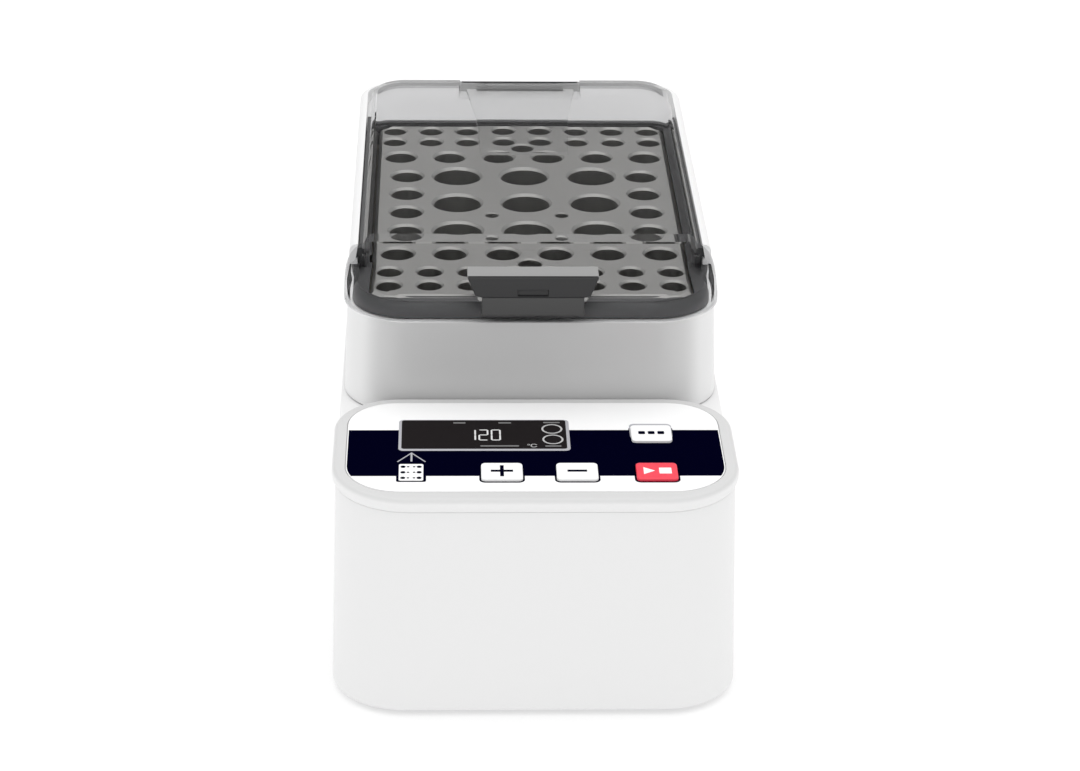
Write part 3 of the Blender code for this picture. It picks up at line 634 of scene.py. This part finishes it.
# tube rack under an open cover: the block symbol at the deck's left
rack = [rounded_rect(-43.2, -35.5, 14.8, 26.2, 0.7)]
printed("print_rack", rack, FILM_TOP + 0.018, PLAIN_WHITE, "label_white")
RACK_ROWS = (16.7, 20.5, 24.3)
printed("print_rack_cells", [circle(x, y_of(d), 0.8, 20) for x in (-41.9, -36.8) for d in RACK_ROWS]
        + [circle(x, y_of(d), 0.42, 16) for x in (-40.3, -38.4) for d in RACK_ROWS],
        FILM_TOP + 0.032, INK, "display_black")
printed("print_cover_line", strip([(-43.6, 27.9), (-39.3, 33.9), (-35.0, 27.9)], 0.45)
        + strip([(-39.3, 33.7), (-39.3, 28.3)], 0.6),
        FILM_TOP + 0.018, INK_GREY, "label_white")

# key symbols
(px, pd), (mx, md) = KEYS["key_plus"], KEYS["key_minus"]
printed("symbol_plus", [rounded_rect(px - 3.5, px + 3.5, pd - 0.7, pd + 0.7, 0.2),
                        rounded_rect(px - 0.6, px + 0.6, pd - 3.8, pd + 3.8, 0.2)],
        KEY_TOP, INK, "display_black", "key_plus")
printed("symbol_minus", [rounded_rect(mx - 3.1, mx + 3.1, md - 0.7, md + 0.7, 0.2)],
        KEY_TOP, INK, "display_black", "key_minus")
(ox, od), (sx, sd) = KEYS["key_mode"], KEYS["key_start"]
printed("symbol_mode", [rounded_rect(ox - 4.2 + 3.1 * i, ox - 2.0 + 3.1 * i, od - 1.1, od + 1.1, 0.5)
                        for i in range(3)],
        KEY_TOP, INK, "display_black", "key_mode")
printed("symbol_start", [[(sx - 4.2, y_of(sd - 2.4)), (sx - 0.6, y_of(sd)), (sx - 4.2, y_of(sd + 2.4))],
                         rounded_rect(sx + 0.7, sx + 4.6, sd - 2.0, sd + 2.0, 0.25)],
        KEY_TOP, PLAIN_WHITE, "key_white", "key_start")
CAP_HEIGHTS, CAP_INSETS = (-3.4, 0.62, 0.86, 0.97, 1.0), (0, 0, 0.07, 0.22, 0.5)
for name in KEYS:
    slot = "key_red" if name == "key_start" else "key_white"
    cap = deck_stack(name + "_cap", *key_area(name), CAP_HEIGHTS, 1.5, LOOK[slot], CAP_INSETS)
    ride(bake(cap), name, slot, name)


# seven-segment read-out, ring marks and degree sign behind the window
SEGMENT_WIDTH = 0.55
DIGIT_X, DIGIT_STEP, DIGIT_LOW, DIGIT_TALL, DIGIT_WIDE = -20.3, 4.0, 43.0, 7.2, 2.7


def segment(x, depth, length, upright):
    """Six-sided bar of the read-out, centred at x, depth."""
    h, w = length / 2, SEGMENT_WIDTH / 2
    shape = [(-h, 0), (-h + w, w), (h - w, w), (h, 0), (h - w, -w), (-h + w, -w)]
    return [(x + (v if upright else u), y_of(depth + (u if upright else v))) for u, v in shape]


DIGITS = {"0": "abcdef", "1": "bc", "2": "abged"}
lit = []
for number, digit in enumerate("120"):
    cx, side = DIGIT_X + DIGIT_STEP * number, DIGIT_WIDE / 2
    lower, upper = DIGIT_LOW + DIGIT_TALL * 0.25, DIGIT_LOW + DIGIT_TALL * 0.75
    places = {"a": (cx, DIGIT_LOW + DIGIT_TALL, DIGIT_WIDE, False),
              "d": (cx, DIGIT_LOW, DIGIT_WIDE, False),
              "g": (cx, DIGIT_LOW + DIGIT_TALL / 2, DIGIT_WIDE, False),
              "b": (cx + side, upper, DIGIT_TALL / 2, True),
              "c": (cx + side, lower, DIGIT_TALL / 2, True),
              "f": (cx - side, upper, DIGIT_TALL / 2, True),
              "e": (cx - side, lower, DIGIT_TALL / 2, True)}
    lit += [segment(*places[key]) for key in DIGITS[digit]]
printed("readout_digits", lit, WINDOW_TOP, LIT, "label_white")
printed("readout_rings", ring(5.9, 50.9, 3.4, 2.8) + ring(6.0, 43.4, 3.4, 2.8), WINDOW_TOP, DIM, "label_white")
MARKS = ((-26.0, 54.9, 4.0), (-11.4, 54.9, 4.2), (3.2, 55.1, 5.4), (-17.4, 38.3, 12.4), (3.4, 38.2, 5.2))
printed("readout_marks", [rounded_rect(x, x + wide, d, d + 0.9, 0.3) for x, d, wide in MARKS],
        WINDOW_TOP, FAINT, "label_white")
UNIT_LETTER = ((0.6, 39.6), (0.1, 40.0), (-0.7, 40.0), (-1.1, 39.4), (-1.1, 38.6), (-0.7, 38.0), (0.1, 38.0),
               (0.6, 38.4))
printed("readout_unit", ring(-1.9, 39.6, 0.45, 0.25, 16) + strip(UNIT_LETTER, 0.3), WINDOW_TOP, DIM, "label_white")

# ---------------------------------------------------------------- tube block
WELL_CENTRE, BLOCK_TOP, BLOCK_EDGE, BLOCK_CORNER = 166.6, 108.3, 1.2, 3.6


def block_outline(grow=0.0):
    half, y0, y1, c = 53.0 + grow, y_of(83.7 - grow), y_of(246.7 + grow), BLOCK_CORNER
    return [(half - c, y0), (half, y0 + c), (half, y1 - c), (half - c, y1),
            (c - half, y1), (-half, y1 - c), (-half, y0 + c), (c - half, y0)]


# radius, depth, edge chamfer, sides, places about the block's middle
WELLS = (
    (8.3, 44.0, 0.9, 48, [(x, d) for d in (-26.5, 0, 26.5) for x in (-24.2, 0, 24.2)]),
    (5.5, 38.0, 0.8, 40, [(x, d) for d in (-46.2, 46.2) for x in (-44.75, -26.85, -8.95, 8.95, 26.85, 44.75)]
     + [(x, d) for d in (-26.5, -8.85, 8.85, 26.5) for x in (-42.15, 42.15)]),
    (4.1, 28.0, 0.7, 32, [(6.75 + 13.5 * i, d) for d in (-74.0, -62.3, 62.3, 74.0) for i in range(-4, 4)]),
    (4.0, 34.0, 0.5, 32, [(0, -55.2), (0, 55.2)]),
    (2.25, 14.0, 0.3, 20, [(-12.2, -12.0), (12.2, -12.0)]),
)
block = stack("block_body", [(block_outline(), 56.0), (block_outline(), BLOCK_TOP - BLOCK_EDGE),
                             (block_outline(-BLOCK_EDGE), BLOCK_TOP)], LOOK["block_aluminium"])
bm = bmesh.new()
for radius, depth, edge, count, spots in WELLS:
    for x, d in spots:
        y = y_of(WELL_CENTRE + d)
        bottom = ((radius * 0.12, -depth), (radius * 0.55, -depth + radius * 0.5), (radius, -depth + radius * 1.9))
        mouth = ((radius, -edge), (radius + edge + 0.8, 0.8))
        add_stack(bm, [(circle(x, y, r, count), BLOCK_TOP + z) for r, z in bottom + mouth])
combine(block, "DIFFERENCE", finish_mesh("wells", bm))
ride(bake(block, 25), HOUSING, "block_aluminium", "tube_block")



def apron_outline(inset):
    return outline(59.2 - inset, 78.0 + inset, 110, 18.1 - inset, 0.5)


well_frame = prism("frame_walls", outline(57.4, 80.0, 249.5, 16.9, 8.0), 106.3, 115.1, LOOK["frame_black"])
apron = stack("frame_apron", [(apron_outline(0.0), 103.1)]
              + [(apron_outline(3.2 * come_in), BLOCK_TOP - 4.0 * short) for come_in, short in quarter(8)])
for side, sign in SIDES:
    combine(apron, "DIFFERENCE",
            box("apron_trim_" + side, side_span(sign, 59.0, 70), (91.5, 130), (90, ABOVE)),
            box("apron_end_" + side, side_span(sign, 57.2, 70), (98.0, 130), (90, ABOVE)))
combine(well_frame, "UNION", apron)
combine(well_frame, "DIFFERENCE",
        prism("frame_inside", outline(55.6, 60, 247.6, 1, 6.4), BLOCK_TOP, ABOVE),
        box("frame_front_clear", (-70, 70), (60, 108), (BLOCK_TOP, ABOVE)),
        box("frame_rear_top", (-70, 70), (240, 260), (109.1, ABOVE)),
        prism("frame_under", outline(58.1, 79.1, 120, 16.8, 2), 95, 106.3),
        prism("frame_well", block_outline(0.5), 95, ABOVE))
ear_front = extrude("ear_front", notch_profile(14.8, 80, 90), "x", -72, 72)
for side, sign in SIDES:
    ear = box("frame_ear_" + side, side_span(sign, 57.3, 59.1), (97.2, 112.1), (103.1, 110.2))
    combine(ear, "DIFFERENCE", ear_front)
    combine(well_frame, "UNION", ear)
ride(bake(well_frame), HOUSING, "frame_black", "well_frame")

# ---------------------------------------------------------------- lid
SLOPE = 11.25 / 40.0
LID_TOP = 120.0


def hood_solid(name, half, front, corner, drop, side_in, front_in, tall):
    """Rounded-front solid under the lid's slope, with quarter-ellipse shoulders; drop lowers it for the inside."""
    def below_slope(amount):
        return lambda y: 108.75 + (y + CENTRE_DEPTH - 70.0) * SLOPE - drop - amount
    levels = [(outline(half, front, 150, corner, 0.5, 24), 85.0)]
    for come_in, short in quarter(16):
        shoulder = outline(half - side_in * come_in, front + front_in * come_in, 150,
                           corner - (side_in + front_in) / 2 * come_in, 0.5, 24)
        levels.append((shoulder, below_slope(tall * short)))
    return stack(name, levels)


def roof_outline(inset):
    return outline(56.0 - inset, 99.0, 270.8 - inset, 0.5, 12.5 - inset)


lid = hood_solid("lid_shell", 62.2, 75.0, 21.0, 0.0, 10.0, 2.4, 11.0)
lid.data.materials.append(LOOK["lid_smoke"])
VISUAL.objects.link(lid)
TOOLS.objects.unlink(lid)
combine(lid, "INTERSECT", extrude("hood_side", notch_profile(14.4, 50, 103.1), "x", -80, 80))
roof = stack("roof", [(roof_outline(0.0), 115.5)]
             + [(roof_outline(3.4 * come_in), LID_TOP - 2.4 * short) for come_in, short in quarter(12)])
combine(roof, "DIFFERENCE",
        extrude("roof_slope", [(60, 105.94), (110.0, LID_TOP), (110, 135), (60, 135)], "x", -80, 80))
tongue = [(21.2, 117.8), (-21.2, 117.8), (-17.4, 109.5), (17.4, 109.5)]
combine(lid, "UNION", roof, extrude("tongue", tongue, "y", 75.0, 83.4))
inside = hood_solid("lid_inside", 60.0, 77.2, 18.8, 2.3, 9.0, 1.2, 9.5)
combine(inside, "INTERSECT", box("inside_end", (-90, 90), (50, 104.2), (70, 140)))
tongue_inside = [(19.0, 115.8), (-19.0, 115.8), (-15.4, 107.5), (15.4, 107.5)]
combine(lid, "DIFFERENCE", inside,
        prism("roof_inside", outline(53.8, 107.6, 268.6, 0.5, 10.3), 90, 117.8),
        extrude("slope_inside", [(98, 90), (108.5, 90), (108.5, 117.25), (98, 114.3)], "x", -53.8, 53.8),
        extrude("tongue_inside", tongue_inside, "y", 77.2, 81.4),
        box("hinge_clear", (-22.8, 22.8), (266.6, 280), (105, ABOVE)))
ride(bake(lid, 12), LID_BODY, "lid_smoke", "lid")

grip_face = [(21.4, 119.4), (-21.4, 119.4), (-18.8, 112.9), (-16.7, 112.4), (16.7, 112.4), (18.8, 112.9)]
grip = extrude("grip_plate", grip_face, "y", 73.0, 74.7, LOOK["grip_black"])
combine(grip, "DIFFERENCE", box("grip_slot", (-5.0, 5.0), (72.0, 74.0), (112.9, 115.0)))
# The lip is the grip's top; its lighter grey is painted sheen.
lip = box("grip_lip", (-21.4, 21.4), (73.1, 83.0), (118.2, 119.4), GRIP_TOP_PAINTED_SHEEN)
tab = box("grip_tab", (-16.7, 16.7), (73.1, 74.6), (105.8, 112.4), GRIP_TAB)
for piece, width in ((grip, 0.3), (lip, 0.35), (tab, 0.4)):
    soften(piece, width)
    ride(bake(piece), LID_BODY, "grip_black", "lid_grip")

# ---------------------------------------------------------------- pads under the base
PAD_LEVELS = ((6.1, 0.0), (6.6, 0.12), (6.9, 0.35), (7.0, 0.7), (7.0, 1.7), (2.6, 1.7), (2.6, 4.6))
for end, depth in (("front", 17.0), ("rear", 259.0)):
    for side, sign in SIDES:
        label = f"{end}_{side}"
        pad = stack("pad_" + label, [(circle(46.0 * sign, y_of(depth), r, 48), h) for r, h in PAD_LEVELS],
                    LOOK["rubber_black"])
        ride(bake(pad), HOUSING, "rubber_black", "foot_" + label)

for tool in list(TOOLS.objects):
    bpy.data.objects.remove(tool, do_unlink=True)
bpy.data.collections.remove(TOOLS)

# ---------------------------------------------------------------- studio
scene = bpy.context.scene
scene.view_settings.view_transform = "Standard"
world = bpy.data.worlds.new("studio")
scene.world = world
world.use_nodes = True
set_inputs(world.node_tree.nodes["Background"], {"Color": (1, 1, 1, 1), "Strength": 0.78})


def soft_light(name, place, target, size, power):
    data = bpy.data.lights.new(name, "AREA")
    data.shape, data.size, data.size_y, data.energy = "RECTANGLE", size[0], size[1], power
    lamp = bpy.data.objects.new(name, data)
    lamp.location = place
    lamp.rotation_euler = (Vector(target) - Vector(place)).to_track_quat("-Z", "Y").to_euler()
    scene.collection.objects.link(lamp)


soft_light("overhead", (0.0, 0.05, 1.5), (0, 0, 0.05), (2.2, 2.2), 16.0)

bm = bmesh.new()
bmesh.ops.create_grid(bm, x_segments=8, y_segments=8, size=4.0)
floor = bpy.data.meshes.new("studio_floor")
bm.to_mesh(floor)
bm.free()
floor.materials.append(surface("floor_white", (0.45, 0.45, 0.45), 0.9, grain_size=30, extra=glow(0.55)))
ground = bpy.data.objects.new("studio_floor", floor)
scene.collection.objects.link(ground)

lens = bpy.data.cameras.new("camera")
lens.sensor_width, lens.lens = 36.0, 102.0
lens.clip_start, lens.clip_end = 0.05, 30.0
camera = bpy.data.objects.new("camera", lens)
camera.location = (-0.0292, -0.9805, 0.5005)
pitch, yaw, roll = math.radians(65.41), math.radians(-1.99), math.radians(0.815)
turn = Matrix.Rotation(yaw, 3, "Z") @ Matrix.Rotation(pitch, 3, "X") @ Matrix.Rotation(roll, 3, "Z")
camera.rotation_euler = turn.to_euler()
scene.collection.objects.link(camera)
scene.camera = camera
